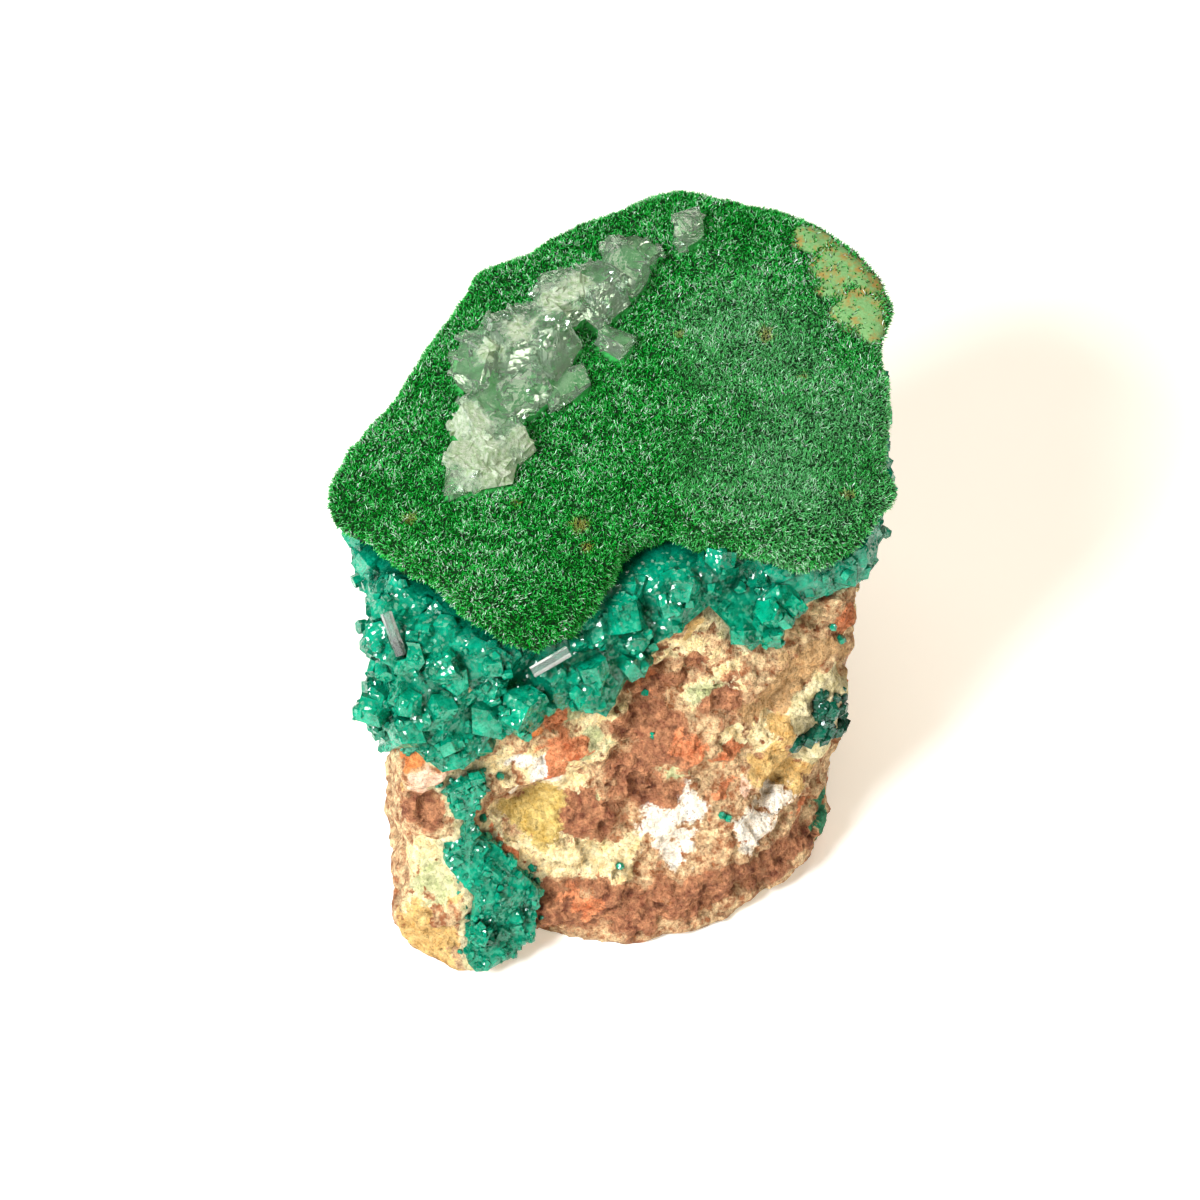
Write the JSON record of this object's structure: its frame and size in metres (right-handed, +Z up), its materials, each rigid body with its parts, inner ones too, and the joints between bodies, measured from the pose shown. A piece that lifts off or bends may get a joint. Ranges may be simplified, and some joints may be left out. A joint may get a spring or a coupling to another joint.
{
  "type": "dioptase mineral specimen",
  "caption": "Broken block of matrix rock with a druse of emerald-green dioptase crystals, capped by a velvet malachite crust that carries a ridge of clear calcite",
  "frame": {"origin": "on the surface the specimen stands on, under the middle of its box", "axes": "+Z up, the broken front face towards -Y, +X to its right"},
  "size_m": [0.0444, 0.0508, 0.0406],
  "materials": {
    "matrix": "broken limonite-stained limestone, rough",
    "malachite": "velvet of fine malachite needles",
    "dioptase": "translucent vitreous crystal faces",
    "calcite": "clear to frosted cleavage faces",
    "clear_prism": "clear vitreous prism faces"
  },
  "bodies": {
    "root": {"matrix": "matrix", "malachite_crust": "malachite", "dioptase_druse": "dioptase", "dioptase_seam": "dioptase", "dioptase_right_patch": "dioptase", "calcite_ridge": "calcite", "calcite_grain": "calcite", "calcite_chip": "calcite", "clear_prism_left": "clear_prism", "clear_prism_front": "clear_prism"}
  },
  "joints": []
}
